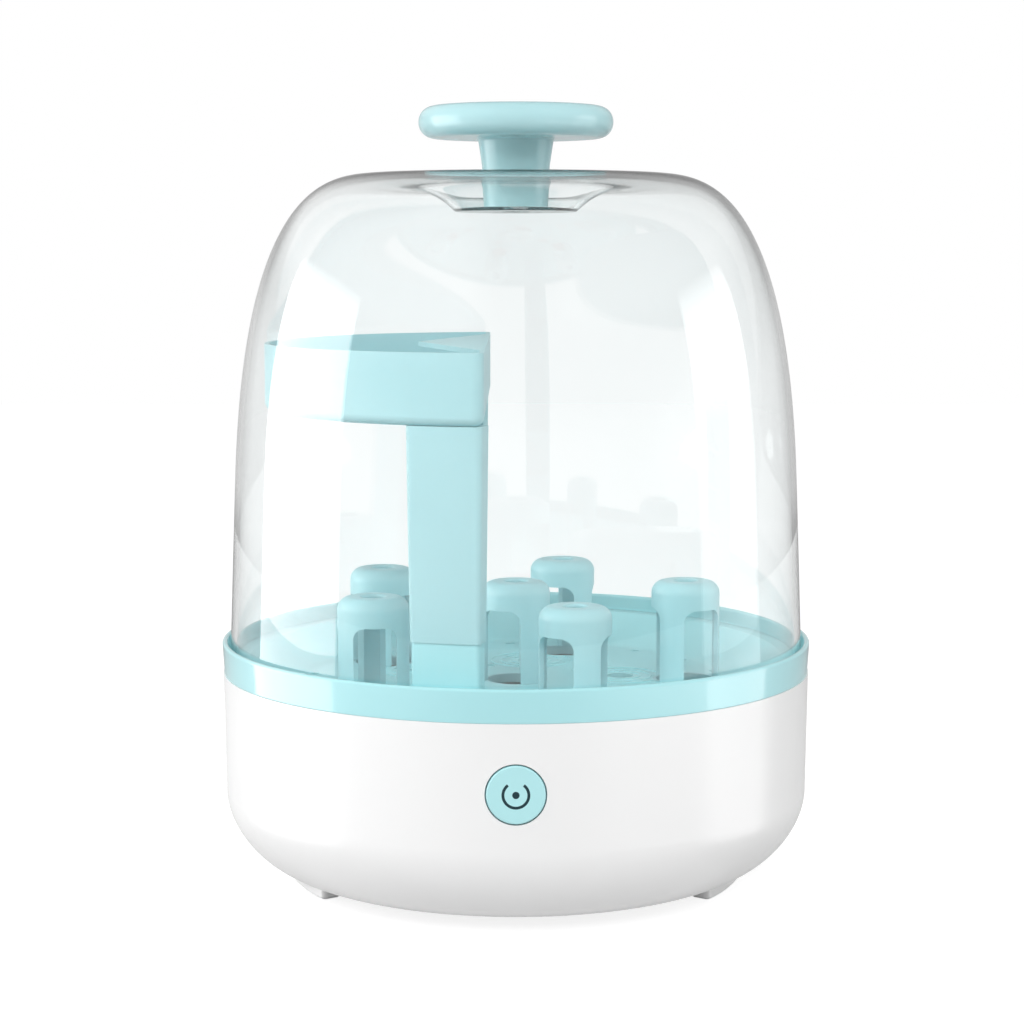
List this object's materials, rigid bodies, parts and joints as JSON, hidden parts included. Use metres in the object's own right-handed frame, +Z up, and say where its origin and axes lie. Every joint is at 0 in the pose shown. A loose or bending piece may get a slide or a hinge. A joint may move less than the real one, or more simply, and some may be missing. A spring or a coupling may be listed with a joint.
{
  "type": "baby bottle sterilizer",
  "caption": "Electric steam sterilizer for baby bottles: round white base with a push button, mint peg rack and half-round tray, tall clear dome lid with a knob.",
  "frame": {"origin": "on the table under the middle of the object, on the axis that the base, rack and lid share", "axes": "+Z up along the common axis; -Y towards the front, where the button is; +X to the right seen from the front"},
  "size_m": [0.2598, 0.2598, 0.3381],
  "materials": {
    "white_shell": "moulded ABS, smooth satin gloss",
    "white_cover": "moulded ABS, fine texture",
    "pan_plastic": "moulded polypropylene, smooth",
    "mint_rack": "moulded polypropylene, satin gloss",
    "mint_holder": "moulded polypropylene, satin gloss",
    "mint_knob": "moulded polypropylene, glossy",
    "mint_button": "moulded ABS, satin",
    "symbol_ink": "dark teal inlay",
    "clear_lid": "clear moulded polycarbonate, polished",
    "stainless_plate": "brushed stainless steel",
    "steel_screw": "zinc-plated steel",
    "spring_steel": "drawn spring wire",
    "heater_sheath": "sheathed heater tube, dull",
    "cast_block": "die-cast aluminium",
    "plated_brass": "nickel-plated brass",
    "silicone": "translucent white silicone",
    "pad_rubber": "pale grey anti-slip rubber",
    "dark_moulding": "black heat-resistant moulding",
    "circuit_board": "green solder mask on glass laminate",
    "wire_sheath": "silicone wire insulation"
  },
  "bodies": {
    "base": {"base_shell": "white_shell", "bottom_cover": "white_cover", "cover_screws": "steel_screw", "foot_pads": "pad_rubber", "water_pan": "pan_plastic", "plate_seal": "silicone", "heating_plate": "stainless_plate", "plate_clamp": "stainless_plate", "clamp_screws": "steel_screw", "heater_element": "heater_sheath", "heater_block": "cast_block", "thermostat": "dark_moulding", "thermostat_screws": "steel_screw", "thermal_fuse": "dark_moulding", "fuse_clip": "steel_screw", "button_guide": "white_cover", "button_spring": "spring_steel", "tact_switch": "dark_moulding", "control_board": "circuit_board", "board_screws": "steel_screw", "relay": "dark_moulding", "terminal_block": "dark_moulding", "power_inlet": "dark_moulding", "inlet_pins": "plated_brass", "lead_wires": "wire_sheath"},
    "button": {"power_button": "mint_button", "button_symbol": "symbol_ink", "switch_actuator": "dark_moulding"},
    "rack": {"bottle_rack": "mint_rack", "bottle_peg_1": "mint_rack", "bottle_peg_2": "mint_rack", "bottle_peg_3": "mint_rack", "bottle_peg_4": "mint_rack", "bottle_peg_5": "mint_rack", "bottle_peg_centre": "mint_rack"},
    "holder": {"accessory_tray": "mint_holder", "accessory_post_front": "mint_holder", "accessory_post_rear": "mint_holder"},
    "lid": {"lid_dome": "clear_lid", "lid_knob": "mint_knob", "knob_gasket": "silicone", "knob_washer": "steel_screw", "knob_screw": "steel_screw"}
  },
  "joints": [
    {"name": "button_press", "type": "slide", "parent": "base", "child": "button", "axis": [0, 1, 0], "range_m": [0, 0.0012], "stiffness_N_per_m": 800, "springref_m": -0.001, "deforming": ["button_spring"]},
    {"name": "rack_lift", "type": "slide", "parent": "base", "child": "rack", "axis": [0, 0, 1], "range_m": [0, 0.06]},
    {"name": "holder_lift", "type": "slide", "parent": "rack", "child": "holder", "axis": [0, 0, 1], "range_m": [0, 0.06]},
    {"name": "lid_lift", "type": "slide", "parent": "holder", "child": "lid", "axis": [0, 0, 1], "range_m": [0, 0.16]}
  ]
}
